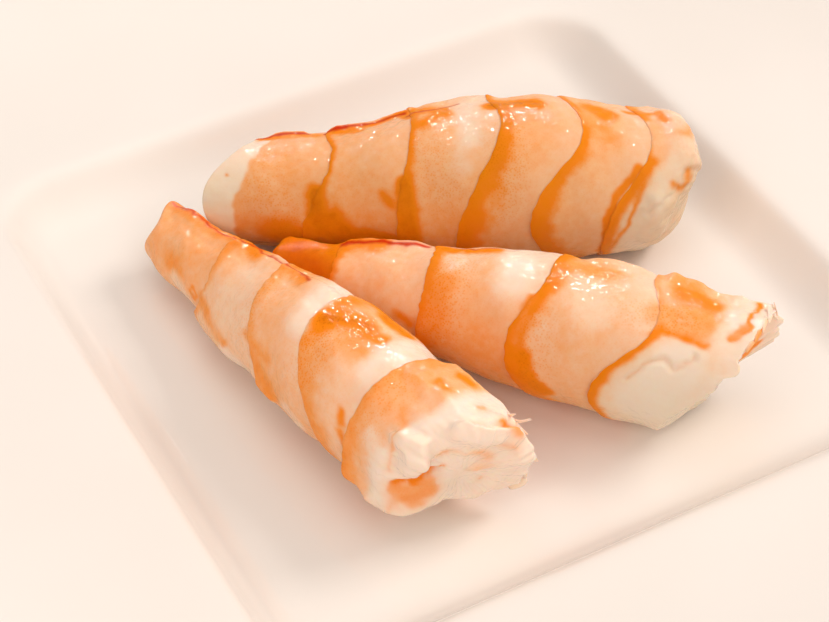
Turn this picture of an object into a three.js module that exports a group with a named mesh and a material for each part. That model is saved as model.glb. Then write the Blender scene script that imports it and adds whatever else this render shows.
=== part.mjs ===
// Three cooked, peeled king prawn tails on a square white glazed plate.
//
// The frame is the plate's: +Z is up, X and Y run along its sides, and the origin is the middle
// of the foot ring's underside. Lengths are millimetres and angles are degrees unless a name
// says otherwise. A prawn is a closed skin of rings carried along its axis from the tail end to
// the cut head end. Its sections are rolled about that axis, because a tail lies on the side of
// its belly with its back turned up and away from the front edge of the plate.
import * as THREE from "three";

const DEG = Math.PI / 180;

// The clear height between a prawn and the glaze it lies on.
const GAP = 0.3;

// The plate: a deep square well, a broad sloping rim and a square foot ring.
const PLATE = {
  side: 176,
  corner: 24,
  wellSide: 98,
  wellCorner: 10,
  wallRun: 7,
  foot: 2.4,
  floorTop: 6.6,
  shoulder: 12.6,
  rimTop: 18.6,
  rimSag: 1.1,
  edge: 1.9,
  footSide: 84,
  footWidth: 3,
  thickness: 4.2,
  cornerSteps: 7,
};

// A prawn's rings: points round a section, and where the rings of one segment lie along it.
const ROUND = 34;
const SEGMENT_RINGS = [0, 0.05, 0.2, 0.42, 0.68, 0.9, 1];
const END_RINGS = [22, 45, 66, 80];

// The relief that all three share.
const LIP = 0.26; // how far a segment's rear edge stands over the segment behind it
const TUCK = 0.24; // how far the skin draws in just behind that edge
const KEEL = 0.4; // the ridge along the middle of the back, highest at the tail
const GROOVE = 0.6; // the fold along the middle of the belly

// Each seam row is where a segment's rear edge crosses the back, the flank and the belly,
// measured from the axis' tail end, then its sway between back and belly, and how far the
// lower edge of the segment in front of it hangs down. The first row is the tail end and the
// last is the cut head end.
const PRAWNS = {
  prawn_front: {
    tail: [-30.1, 34.6],
    head: [-17.3, -33.3],
    bow: -0.3,
    roll: 24,
    radius: 9.3,
    tailRatio: 0.46,
    thickAt: 0.76,
    swell: 2.1,
    headDrop: 0,
    lift: 0.7,
    seams: [
      [4.6, 6.2, 7.6, 3.5, 0.3],
      [19.0, 21.0, 21.5, 1.5, 1.1],
      [29.5, 34.5, 41.0, 0, 0.3],
      [41.5, 46.5, 54.0, -2, 0.2],
      [57.5, 56.5, 58.0, 0, 0.7],
      [69.5, 67.0, 64.5, 0, 0],
    ],
    slant: -3.6,
    settle: 0.4,
    tailCap: 1.6,
    headCap: 2.6,
    uneven: 0.35,
    phase: 0.4,
  },
  prawn_middle: {
    tail: [-18.7, 17.7],
    head: [22.6, -35.2],
    bow: -1.55,
    roll: 36,
    radius: 9.8,
    tailRatio: 0.3,
    thickAt: 0.75,
    swell: 1.35,
    headDrop: 0.04,
    lift: 3.3,
    seams: [
      [2.4, 2.0, 3.4, 0, 0],
      [10.6, 10.8, 11.0, 0, 0.2],
      [23.8, 25.5, 25.0, 0, 0.3],
      [41.0, 38.8, 44.0, 4, 0.4],
      [54.0, 54.0, 53.0, 7.5, 0.4],
      [69.3, 66.5, 59.5, 3, 0],
    ],
    slant: 0,
    settle: 0.4,
    tailCap: 1.8,
    headCap: 0.4,
    uneven: 0.3,
    phase: 2.1,
  },
  prawn_back: {
    tail: [-19.4, 30.9],
    head: [35.9, 1.1],
    bow: -1.85,
    roll: 46,
    radius: 11.8,
    tailRatio: 0.64,
    thickAt: 0.68,
    swell: 2.3,
    headDrop: 0.14,
    lift: 1.3,
    seams: [
      [5.0, -2.0, 0.6, 1.0, 0],
      [14.5, 13.5, 12.0, 3, 0],
      [26.0, 25.2, 25.0, 1.5, 0],
      [36.8, 36.0, 33.5, 5, 0.1],
      [47.0, 46.5, 46.0, 9, 0.3],
      [57.0, 57.5, 53.0, 5, 0.2],
      [61.5, 62.5, 58.0, 2, 0],
    ],
    slant: 0,
    settle: 1.2,
    tailCap: 0.9,
    headCap: 5.0,
    uneven: 0.35,
    phase: 4.2,
  },
};

const glaze = new THREE.MeshStandardMaterial({
  name: "white glazed porcelain",
  color: 0xf6ece0,
  roughness: 0.12,
  metalness: 0,
});

const flesh = new THREE.MeshStandardMaterial({
  name: "cooked prawn flesh",
  color: 0xf0a878,
  roughness: 0.3,
  metalness: 0,
});

function smooth(x) {
  const c = THREE.MathUtils.clamp(x, 0, 1);
  return c * c * (3 - 2 * c);
}

// A rounded bump of height 1 at the middle angle, on a circle.
function bump(angle, middle, width) {
  const away = Math.abs(((angle - middle + 540) % 360) - 180) / width;
  return Math.exp(-away * away);
}

// One closed skin over a list of rings, all with the same number of points, between a first
// and a last point.
function skin(first, rings, last) {
  const points = [first, ...rings.flat(), last];
  const count = rings[0].length;
  const end = points.length - 1;
  const faces = [];
  for (let j = 0; j < count; j++) {
    const k = (j + 1) % count;
    faces.push(0, 1 + k, 1 + j);
    for (let i = 0; i < rings.length - 1; i++) {
      const a = 1 + i * count + j;
      const b = 1 + i * count + k;
      faces.push(a, b, a + count, b, b + count, a + count);
    }
    const base = 1 + (rings.length - 1) * count;
    faces.push(base + j, base + k, end);
  }
  const geometry = new THREE.BufferGeometry().setFromPoints(points);
  geometry.setIndex(faces);
  geometry.computeVertexNormals();
  return geometry;
}

// A square with round corners at height z, as points clockwise seen from above.
function squareRing(half, corner, z) {
  const points = [];
  for (let quarter = 0; quarter < 4; quarter++) {
    for (let step = 0; step <= PLATE.cornerSteps; step++) {
      const turn = (quarter + step / PLATE.cornerSteps) * 90 * DEG;
      const middle = new THREE.Vector2(half - corner, half - corner);
      middle.rotateAround(new THREE.Vector2(), quarter * 90 * DEG);
      points.push(new THREE.Vector3(
        middle.x + corner * Math.cos(turn),
        middle.y + corner * Math.sin(turn),
        z,
      ));
    }
  }
  return points.reverse();
}

// The plate's top, from the middle of the well out over the wall and the rim.
function plateTop() {
  const { side, corner, wellSide, wellCorner, wallRun } = PLATE;
  const inner = wellSide / 2 - wallRun;
  const rings = [squareRing(inner - 12, wellCorner - 9, PLATE.floorTop)];
  for (const t of [0, 0.25, 0.5, 0.72, 0.9]) {
    const rise = (PLATE.shoulder - PLATE.floorTop) * t ** 2.2;
    rings.push(squareRing(inner + wallRun * t, wellCorner - wallRun * (1 - t), PLATE.floorTop + rise));
  }
  for (const t of [0, 0.06, 0.3, 0.6, 0.85, 0.96]) {
    const half = THREE.MathUtils.lerp(wellSide / 2, side / 2 - PLATE.edge, t);
    const turn = THREE.MathUtils.lerp(wellCorner, corner - PLATE.edge, t);
    const straight = THREE.MathUtils.lerp(PLATE.shoulder, PLATE.rimTop, t);
    rings.push(squareRing(half, turn, straight - PLATE.rimSag * Math.sin(Math.PI * t)));
  }
  return rings;
}

// The rolled edge of the rim, a half circle from the top face round to the underside.
function plateEdge() {
  const rings = [];
  for (const angle of [72, 36, 0, -36, -72]) {
    const out = PLATE.edge * Math.cos(angle * DEG);
    const up = PLATE.edge * Math.sin(angle * DEG);
    rings.push(squareRing(
      PLATE.side / 2 - PLATE.edge + out,
      PLATE.corner - PLATE.edge + out,
      PLATE.rimTop - PLATE.edge + up,
    ));
  }
  return rings;
}

// The underside: back in below the rim, down the wall to the foot ring, and over the recess.
function plateUnderside() {
  const { foot, footSide, footWidth, floorTop, shoulder, thickness } = PLATE;
  const outer = footSide / 2;
  const wall = PLATE.wellSide / 2 + 2;
  return [
    squareRing(wall + 16, PLATE.wellCorner + 3, shoulder - thickness + 2.6),
    squareRing(wall, PLATE.wellCorner, shoulder - thickness - 0.6),
    squareRing(outer + 1.6, 14, foot + 0.7),
    squareRing(outer + 0.2, 13, 0.3),
    squareRing(outer - 0.2, 12.6, 0),
    squareRing(outer - footWidth, 11, 0),
    squareRing(outer - footWidth - 0.6, 10.4, 0.4),
    squareRing(outer - footWidth - 1.4, 9.6, foot),
    squareRing(outer - footWidth - 16, 6, Math.min(foot + 0.2, floorTop - 3.4)),
  ];
}

function makePlate() {
  const top = new THREE.Vector3(0, 0, PLATE.floorTop);
  const under = new THREE.Vector3(0, 0, PLATE.foot + 0.2);
  const rings = [...plateTop(), ...plateEdge(), ...plateUnderside()];
  const geometry = skin(top, rings, under);
  const mesh = new THREE.Mesh(geometry, glaze);
  mesh.name = "plate";
  return mesh;
}

// The radius of the round body at u, from the tail end (0) to the head end (1) of the axis:
// it swells from the tail to its thickest place, and may draw in again towards the head.
function bodyRadius(prawn, u) {
  const along = THREE.MathUtils.clamp(u, 0, 1);
  const rise = Math.sin(Math.min(along / prawn.thickAt, 1) * Math.PI / 2) ** prawn.swell;
  const fall = smooth((along - prawn.thickAt) / (1 - prawn.thickAt));
  const { tailRatio, headDrop, radius } = prawn;
  return radius * (tailRatio + (1 - tailRatio) * rise) * (1 - headDrop * fall);
}

// How far along the axis a seam lies at an angle round the body, 0 being the back and 180 the
// belly: a curve through its three named places, with the sway added between them.
function seamAt(row, angle) {
  const [back, flank, belly, sway] = row;
  const c = Math.cos(angle * DEG);
  const across = 1 - c * c;
  return back * (c * c + c) / 2 + belly * (c * c - c) / 2 + flank * across + sway * across * c;
}

// The standing lip at the rear edge of a segment, fading to the tuck under the next one.
// The lower edges of the flanks hang a little lower in the middle of a segment.
function segmentRelief(t, angle, flap) {
  const edge = 1 - smooth(t / 0.75);
  const side = bump(angle, 138, 34) + bump(angle, 222, 34);
  const hang = flap * side * Math.sin(Math.PI * Math.min(1, 0.25 + 0.75 * t));
  return LIP * edge * (1 + 0.5 * side) - TUCK * smooth((t - 0.6) / 0.4) + hang;
}

// The long relief of the whole body: the keel of the back, the fold of the belly and the
// slow unevenness of the flesh.
function bodyRelief(prawn, s, angle, u) {
  const keel = KEEL * bump(angle, 0, 15) * (1 - 0.7 * smooth(u / 0.8));
  const fold = -GROOVE * bump(angle, 180, 15) - 0.1 * bump(angle, 180, 42);
  const a = angle * DEG;
  const wave = Math.sin(0.33 * s + 2 * a + prawn.phase) + 0.6 * Math.sin(0.71 * s - 3 * a + 2 * prawn.phase);
  return keel + fold + prawn.uneven * wave * 0.5;
}

// A point of the skin in the prawn's own frame: X along the axis, Y away from the front edge
// of the plate and Z up. The angle turns from the back over the flank that faces the front.
function skinPoint(prawn, length, s, angle, relief, shrink) {
  const u = s / length;
  const roll = prawn.roll * DEG;
  const radius = bodyRadius(prawn, u);
  const high = radius;
  const wide = radius * 0.94;
  const lowest = Math.hypot(high * Math.cos(roll), wide * Math.sin(roll));
  const out = (relief + bodyRelief(prawn, s, angle, u)) * shrink;
  const up = (high * shrink + out) * Math.cos(angle * DEG);
  const over = (wide * shrink + out) * Math.sin(angle * DEG);
  return new THREE.Vector3(
    s,
    4 * prawn.bow * u * (1 - u) + up * Math.sin(roll) - over * Math.cos(roll),
    lowest + prawn.lift * (1 - THREE.MathUtils.clamp(u, 0, 1)) ** 2
      + up * Math.cos(roll) + over * Math.sin(roll),
  );
}

// One ring of the closed end, drawn in over a rounded, slightly ragged face.
function endRing(prawn, length, row, turn, cap, isHead) {
  const shrink = Math.cos(turn * DEG);
  const middle = (row[0] + row[2]) / 2 * 0.5 + row[1] * 0.5;
  const ring = [];
  for (let j = 0; j < ROUND; j++) {
    const angle = 360 * j / ROUND;
    const rim = seamAt(row, angle) + (isHead ? headEdge(prawn, angle) : 0);
    const s = THREE.MathUtils.lerp(middle, rim, shrink) + (isHead ? 1 : -1) * cap * Math.sin(turn * DEG);
    ring.push(skinPoint(prawn, length, s, angle, 0, shrink ** 0.7));
  }
  return ring;
}

// The slant of the head cut from side to side, and its torn, wavy edge.
function headEdge(prawn, angle) {
  const a = angle * DEG;
  const torn = Math.sin(3 * a + prawn.phase) + 0.7 * Math.sin(5 * a + 3 * prawn.phase);
  return prawn.slant * Math.sin(a) + prawn.uneven * 1.6 * torn;
}

function segmentRings(prawn, length, index) {
  const rear = prawn.seams[index];
  const front = prawn.seams[index + 1];
  const isHead = index === prawn.seams.length - 2;
  const isTail = index === 0;
  return SEGMENT_RINGS.map((t) => {
    const ring = [];
    for (let j = 0; j < ROUND; j++) {
      const angle = 360 * j / ROUND;
      const end = seamAt(front, angle) + (isHead ? headEdge(prawn, angle) : 0);
      const s = THREE.MathUtils.lerp(seamAt(rear, angle), end, t);
      const fade = isTail ? smooth(t / 0.4) : 1;
      const relief = segmentRelief(t, angle, rear[4]) * fade * (isHead ? 1 - 0.9 * smooth(t) : 1);
      ring.push(skinPoint(prawn, length, s, angle, relief, 1));
    }
    return ring;
  });
}

function prawnGeometry(prawn) {
  const length = Math.hypot(prawn.head[0] - prawn.tail[0], prawn.head[1] - prawn.tail[1]);
  const tailRow = prawn.seams[0];
  const headRow = prawn.seams[prawn.seams.length - 1];
  const rings = [];
  for (const turn of [...END_RINGS].reverse()) {
    rings.push(endRing(prawn, length, tailRow, turn, prawn.tailCap, false));
  }
  for (let index = 0; index < prawn.seams.length - 1; index++) {
    rings.push(...segmentRings(prawn, length, index));
  }
  for (const turn of END_RINGS) {
    rings.push(endRing(prawn, length, headRow, turn, prawn.headCap, true));
  }
  const tip = centreOf(rings[0]);
  const cut = centreOf(rings[rings.length - 1]);
  return skin(tip, rings, cut);
}

function centreOf(ring) {
  const sum = new THREE.Vector3();
  ring.forEach((point) => sum.add(point));
  return sum.divideScalar(ring.length);
}

// Soft flesh settles where it rests: what would stand below that level is pressed flat. The
// prawn's own height then starts at its flattened underside.
function settleOn(geometry, settle) {
  const points = geometry.getAttribute("position");
  geometry.computeBoundingBox();
  const level = geometry.boundingBox.min.z + settle;
  for (let i = 0; i < points.count; i++) {
    points.setZ(i, Math.max(points.getZ(i) - level, 0));
  }
  geometry.computeVertexNormals();
}

// A prawn is set down so that its flattened underside clears the glaze of the well's floor.
function makePrawn(name, prawn) {
  const geometry = prawnGeometry(prawn);
  settleOn(geometry, prawn.settle);
  const mesh = new THREE.Mesh(geometry, flesh);
  mesh.name = name;
  mesh.rotation.z = Math.atan2(prawn.head[1] - prawn.tail[1], prawn.head[0] - prawn.tail[0]);
  mesh.position.set(prawn.tail[0], prawn.tail[1], PLATE.floorTop + GAP);
  return mesh;
}

const platedPrawns = new THREE.Group();
platedPrawns.add(makePlate());
for (const [name, prawn] of Object.entries(PRAWNS)) {
  platedPrawns.add(makePrawn(name, prawn));
}

export default platedPrawns;
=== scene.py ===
import itertools
import math

import bpy
import numpy as np
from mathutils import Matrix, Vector


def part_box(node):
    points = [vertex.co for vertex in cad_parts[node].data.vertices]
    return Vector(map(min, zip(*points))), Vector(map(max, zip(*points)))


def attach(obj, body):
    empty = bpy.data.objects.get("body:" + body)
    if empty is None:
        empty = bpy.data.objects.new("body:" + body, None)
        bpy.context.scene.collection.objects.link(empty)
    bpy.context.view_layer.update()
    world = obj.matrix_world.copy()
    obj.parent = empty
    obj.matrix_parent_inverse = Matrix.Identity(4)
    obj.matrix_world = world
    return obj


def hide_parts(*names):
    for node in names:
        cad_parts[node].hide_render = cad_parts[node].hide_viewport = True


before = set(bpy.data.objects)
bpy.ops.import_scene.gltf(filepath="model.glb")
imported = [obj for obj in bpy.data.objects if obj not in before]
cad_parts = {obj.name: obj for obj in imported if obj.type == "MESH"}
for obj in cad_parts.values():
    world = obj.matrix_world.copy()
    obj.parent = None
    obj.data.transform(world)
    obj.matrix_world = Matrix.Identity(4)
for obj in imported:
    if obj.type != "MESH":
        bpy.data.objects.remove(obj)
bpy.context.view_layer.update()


# The plate
# One piece of white porcelain, cast with its square foot ring and dipped in a clear gloss glaze.
# The glaze levels itself in the kiln, so every edge is round and slow waves run through its shine.

# Its sizes in mm, with the turn of its rolled edge in degrees, then the steps of its mesh.
MM = 0.001
plate_low, plate_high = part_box("plate")
side = (plate_high.x - plate_low.x) / MM
rim_top = plate_high.z / MM
corner = 24
edge = 1.9
edge_turn = 72
well_side = 98
well_corner = 10
wall_run = 7
wall_power = 2.2
floor_top = 6.6
floor_inset = 12
floor_corner = 1
shoulder = 12.6
rim_sag = 1.1
rim_clear = 0.02
foot = 2.4
foot_side = 84
foot_width = 3
thickness = 4.2
wall_steps = 24
rim_steps = 30
edge_steps = 15
corner_steps = 14
side_steps = 30
profile_steps = 220
profile_softening = 2


def square_rings(half, turn, z):
    """Squares with round corners: a corner is a quarter circle of radius turn round a centre that
    is turn inside both sides, and straight runs join it to the next. One ring for each entry of
    half (half a side), turn and z, as points clockwise seen from above."""
    quarter = np.arange(4)[None, :, None] * (math.pi / 2)
    angle = quarter + np.linspace(0, math.pi / 2, corner_steps + 1)[None, None, :]
    inset = (half - turn)[:, None, None]
    middle_x = inset * (np.cos(quarter) - np.sin(quarter))
    middle_y = inset * (np.cos(quarter) + np.sin(quarter))
    x = middle_x + turn[:, None, None] * np.cos(angle)
    y = middle_y + turn[:, None, None] * np.sin(angle)
    along = np.linspace(0, 1, side_steps + 1)[None, None, 1:-1]
    x_next, y_next = np.roll(x, -1, 1)[:, :, :1], np.roll(y, -1, 1)[:, :, :1]
    x = np.concatenate([x, x[:, :, -1:] + (x_next - x[:, :, -1:]) * along], 2)
    y = np.concatenate([y, y[:, :, -1:] + (y_next - y[:, :, -1:]) * along], 2)
    x, y = x.reshape(len(half), -1)[:, ::-1], y.reshape(len(half), -1)[:, ::-1]
    return np.stack([x, y, np.broadcast_to(z[:, None], x.shape)], 2)


def soften(line, reach):
    """A profile's corners rounded: each point of the line becomes the average of its neighbours,
    weighted by a bell curve of that reach in steps, with the two ends held."""
    steps = np.arange(-3 * reach, 3 * reach + 1)
    bell = np.exp(-0.5 * (steps / reach) ** 2)
    held = np.pad(line, ((3 * reach, 3 * reach), (0, 0)), mode="edge")
    smooth_line = [np.convolve(held[:, k], bell / bell.sum(), "valid") for k in range(line.shape[1])]
    return np.stack(smooth_line, 1)


def plate_profile():
    """The plate's section as rows of (half side, corner radius, height): up the well's wall as a
    power curve, over the shoulder, out on a rim that sags by half a sine wave, half round the
    rolled edge, and back below to the foot ring and its recess."""
    inner = well_side / 2 - wall_run
    wall = np.linspace(0, 1, wall_steps)
    rim = np.linspace(rim_clear, 1 - rim_clear, rim_steps)
    roll = np.radians(np.linspace(edge_turn, -edge_turn, edge_steps))
    outer = side / 2 - edge
    foot_out = foot_side / 2
    foot_in = foot_out - foot_width
    rows = [
        np.array([[inner - floor_inset, floor_corner, floor_top]]),
        np.stack([
            inner + wall_run * wall,
            well_corner - wall_run * (1 - wall),
            floor_top + (shoulder - floor_top) * wall ** wall_power,
        ], 1),
        np.stack([
            well_side / 2 + (outer - well_side / 2) * rim,
            well_corner + (corner - edge - well_corner) * rim,
            shoulder + (rim_top - shoulder) * rim - rim_sag * np.sin(math.pi * rim),
        ], 1),
        np.stack([
            outer + edge * np.cos(roll),
            corner - edge + edge * np.cos(roll),
            rim_top - edge + edge * np.sin(roll),
        ], 1),
        # In under the rim, down to the foot ring, across its flat and up into its recess.
        np.array([
            [well_side / 2 + 18, well_corner + 3, shoulder - thickness + 2.6],
            [well_side / 2 + 2, well_corner, shoulder - thickness - 0.6],
            [foot_out + 1.6, 14, foot + 0.7],
            [foot_out + 0.2, 13, 0.3],
            [foot_out - 0.2, 12.6, 0],
            [foot_in, 11, 0],
            [foot_in - 0.6, 10.4, 0.4],
            [foot_in - 1.4, 9.6, foot],
            [foot_in - 16, 6, foot + 0.2],
        ]),
    ]
    line = np.concatenate(rows)
    steps = np.linalg.norm(np.diff(line[:, [0, 2]], axis=0), axis=1)
    length = np.concatenate([[0], np.cumsum(steps)])
    even = np.linspace(0, length[-1], profile_steps)
    even_line = np.stack([np.interp(even, length, line[:, k]) for k in range(3)], 1)
    return soften(even_line, profile_softening)


# How many heights a noise draws, and the primes that pick one of them for a lattice corner.
lattice_heights = 8192
lattice_key = np.array([73856093, 19349663, 83492791])


def lattice_noise(points, cell, seed):
    """Value noise from -1 to 1: a random height at each corner of a cubic lattice whose side is
    cell, blended over each cube with a smooth step in all three directions."""
    place = points / cell
    base = np.floor(place).astype(np.int64)
    part = place - base
    part = part * part * (3 - 2 * part)
    heights = np.random.default_rng(seed).uniform(-1, 1, lattice_heights)
    total = np.zeros(points.shape[:-1])
    for step in itertools.product((0, 1), repeat=3):
        share = np.prod(np.where(np.array(step) == 1, part, 1 - part), axis=-1)
        total += share * heights[(base + step) @ lattice_key % lattice_heights]
    return total


def closed_mesh(name, *stacks):
    """Closed skins over stacks of rings (rings by points by 3, in mm) in one object, each ring
    clockwise seen from the side it is heading away from, with a middle point at either end."""
    points, faces, offset = [], [], 0
    for rings in stacks:
        count, sides = rings.shape[:2]
        ends = rings[[0, -1]].mean(1)
        points.append(np.concatenate([ends[:1], rings.reshape(-1, 3), ends[1:]]) * MM)
        start = offset + 1 + np.arange(sides)
        first = start[None, :] + np.arange(count - 1)[:, None] * sides
        second = np.roll(first, -1, 1)
        faces += np.stack([first, second, second + sides, first + sides], 2).reshape(-1, 4).tolist()
        faces += np.stack([np.full(sides, offset), np.roll(start, -1), start], 1).tolist()
        last = start + (count - 1) * sides
        faces += np.stack([last, np.roll(last, -1), np.full(sides, last[-1] + 1)], 1).tolist()
        offset = last[-1] + 2
    mesh = bpy.data.meshes.new(name)
    mesh.from_pydata(np.concatenate(points).tolist(), [], faces)
    mesh.polygons.foreach_set("use_smooth", np.ones(len(mesh.polygons), bool))
    mesh.update()
    piece = bpy.data.objects.new(name, mesh)
    bpy.context.scene.collection.objects.link(piece)
    return piece


def linear(hex_code):
    """An sRGB hex colour as linear red, green, blue and alpha."""
    parts = np.array([int(hex_code[k:k + 2], 16) for k in (1, 3, 5)]) / 255
    parts = np.where(parts <= 0.04045, parts / 12.92, ((parts + 0.055) / 1.055) ** 2.4)
    return (*parts.tolist(), 1.0)


def add(tree, kind, inputs=None, stops=None, **settings):
    """One node in a material's tree. settings are its own properties, inputs are its sockets by
    name or number, each given a value or the socket that feeds it, and stops are a ramp's
    (place, hex colour) pairs."""
    node = tree.nodes.new("ShaderNode" + kind)
    for name, value in settings.items():
        setattr(node, name, value)
    for key, value in (inputs or {}).items():
        if isinstance(value, bpy.types.NodeSocket):
            tree.links.new(value, node.inputs[key])
        else:
            node.inputs[key].default_value = value
    for index, (place, colour) in enumerate(stops or []):
        elements = node.color_ramp.elements
        element = elements[index] if index < 2 else elements.new(place)
        element.position = place
        element.color = linear(colour)
    return node


def new_material(name):
    """An empty node material, returned with its tree."""
    material = bpy.data.materials.new(name)
    material.use_nodes = True
    material.node_tree.nodes.clear()
    return material, material.node_tree


def glazed_porcelain():
    """Clear gloss glaze over white porcelain, dipped and fired: a warm white body under a thin
    clear coat, with the slow waves of levelled glaze, 9 mm apart, in its gloss."""
    material, tree = new_material("glazed_porcelain")
    place = add(tree, "TexCoord").outputs["Object"]
    tint = add(tree, "TexNoise", {"Vector": place, "Scale": 1 / (40 * MM), "Detail": 2.0})
    body = add(tree, "ValToRGB", {0: tint.outputs["Fac"]}, [(0.3, "#F0EAE2"), (0.7, "#F4EEE7")])
    wave = add(tree, "TexNoise", {"Vector": place, "Scale": 1 / (9 * MM), "Detail": 1.0})
    bump = add(tree, "Bump", {"Height": wave.outputs["Fac"], "Distance": 0.06 * MM, "Strength": 0.6})
    shader = add(tree, "BsdfPrincipled", {
        "Base Color": body.outputs["Color"],
        "Roughness": 0.45,
        "IOR": 1.5,
        "Coat Weight": 0.8,
        "Coat Roughness": 0.06,
        "Coat IOR": 1.5,
        "Coat Normal": bump.outputs["Normal"],
    })
    add(tree, "OutputMaterial", {"Surface": shader.outputs["BSDF"]})
    return material


profile = plate_profile()
plate_rings = square_rings(profile[:, 0], profile[:, 1], profile[:, 2])
plate = closed_mesh("porcelain_plate", plate_rings)
plate.data.materials.append(glazed_porcelain())
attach(plate, "root")
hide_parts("plate")


# The peeled tails
# Each is the cooked muscle of a king prawn's tail with its shell pulled off. Its segments stay
# marked: each one's rear edge stands as a thin lip over the segment behind it. Cooking turned
# the flesh milky and the pigment in its skin orange.

# Points round a skin, the spacing of its rows in mm, the rows that close its two ends, and how
# far it turns in over them in degrees.
around = 256
row_spacing = 0.225
tail_steps = 13
cut_steps = 36
end_turn = 85

# The relief in mm: the lip over a seam, which fades out over a share of its segment, the tuck
# under the next lip, the keel of the back and the fold of the belly. A segment's hem hangs
# lowest at hem_angle on either flank.
lip = 0.13
lip_share = 0.6
tuck = 0.1
keel = 0.4
groove = 0.6
hem_angle = 128
hem_width = 26

# The masks that colour a skin, each an attribute of its mesh's points.
mask_names = ("pigment", "milk", "crest", "freckle", "painted_shade")


def smooth(x):
    """A smooth step: 0 below 0, 1 above 1, and three times the square less twice the cube between."""
    held = np.clip(x, 0, 1)
    return held * held * (3 - 2 * held)


def hump(angle, centre, width):
    """A rounded bump of height 1 at the centre angle of a circle: e to minus the squared distance
    in widths."""
    away = np.abs((angle - centre + 540) % 360 - 180) / width
    return np.exp(-away * away)


def through(row, angle):
    """A smooth curve round the body through three named values, at the back (0 degrees), the
    flanks (90) and the belly (180), with an optional sway added between them."""
    top, flank, belly, sway = (*row, 0)[:4]
    c = np.cos(np.radians(angle))
    across = 1 - c * c
    return top * (c * c + c) / 2 + belly * (c * c - c) / 2 + flank * across + sway * across * c


def body_radius(tail, u):
    """The round body's radius from the tail end (u = 0) to the cut (1): it swells on a power of a
    sine to its thickest place, then draws in on a smooth step."""
    held = np.clip(u, 0, 1)
    rise = np.sin(np.minimum(held / tail["thick_at"], 1) * math.pi / 2) ** tail["swell"]
    fall = smooth((held - tail["thick_at"]) / (1 - tail["thick_at"]))
    ratio = tail["tail_ratio"]
    return tail["radius"] * (ratio + (1 - ratio) * rise) * (1 - tail["head_drop"] * fall)


def on_circle(a, radius):
    """Points on a circle, radius times cosine and sine, so that noise read there meets itself."""
    return np.stack([radius * np.cos(a), radius * np.sin(a), 0 * a], -1)


def torn_edge(tail, angle):
    """How far the cut's edge leans, waves and is torn: a sine for the slant, two more for the
    waves, and lattice noise on a circle for the teeth of the tear."""
    a = np.radians(angle)
    waves = np.sin(3 * a + tail["phase"]) + 0.7 * np.sin(5 * a + 3 * tail["phase"])
    circle = on_circle(a, 9)
    teeth = lattice_noise(circle, 1.5, 61) + 0.7 * lattice_noise(circle, 0.6, 62)
    return tail["slant"] * np.sin(a) + tail["uneven"] * 1.6 * waves + tail["tear"] * teeth


def ragged(angle, seed):
    """The small waver of a seam round the body, in mm: two sizes of lattice noise on a circle."""
    circle = on_circle(np.radians(angle), 10)
    return 0.32 * lattice_noise(circle, 3.1, seed) + 0.14 * lattice_noise(circle, 0.9, seed + 50)


def tail_grid(tail):
    """The skin's grid from the tail end to the cut: for each point the distance s along the axis,
    the angle round it, the segment it is in, the share of that segment behind it, the distances
    in mm to the seams behind and ahead, and how far it has turned in over either end."""
    angle = np.linspace(-180, 180, around, endpoint=False)[None, :]
    edges = [through(row[:4], angle) for row in tail["seams"]]
    edges[1:-1] = [edge_line + ragged(angle, 11 * k + 7) for k, edge_line in enumerate(edges[1:-1])]
    edges[-1] = edges[-1] + torn_edge(tail, angle)
    parts = []
    over_tail = np.radians(np.linspace(end_turn, 0, tail_steps + 1))[:-1, None]
    over_cut = np.radians(np.linspace(0, end_turn, cut_steps + 1))[1:, None]
    ends = ((0, over_tail, tail["tail_cap"], -1), (-1, over_cut, tail["head_cap"], 1))
    for end, turn, cap, sign in ends:
        row = tail["seams"][end]
        centre = (row[0] + row[2]) / 4 + row[1] / 2
        s = centre + (edges[end] - centre) * np.cos(turn) + sign * cap * np.sin(turn)
        index = 0 if end == 0 else len(edges) - 2
        parts.append((s, index, float(end != 0) + 0 * s, turn + 0 * s))
    for index in range(len(edges) - 1):
        rear, fore = edges[index], edges[index + 1]
        steps = int((fore - rear).mean() / row_spacing)
        t = np.concatenate([[0, 0.004, 0.014, 0.03], np.linspace(0.05, 1, steps)])[:, None]
        parts.insert(-1, (rear + (fore - rear) * t, index, t + 0 * rear, 0 * t + 0 * rear))
    s, index, t, turn = (
        np.concatenate([np.broadcast_to(part[k], part[0].shape) for part in parts])
        for k in range(4)
    )
    index = index.astype(int)
    lines = np.concatenate(edges)
    columns = np.arange(around)[None, :]
    return {
        "s": s,
        "angle": np.broadcast_to(angle, s.shape),
        "segment": index,
        "t": t,
        "turn": turn,
        "behind": s - lines[index, columns],
        "ahead": lines[index + 1, columns] - s,
    }


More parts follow.
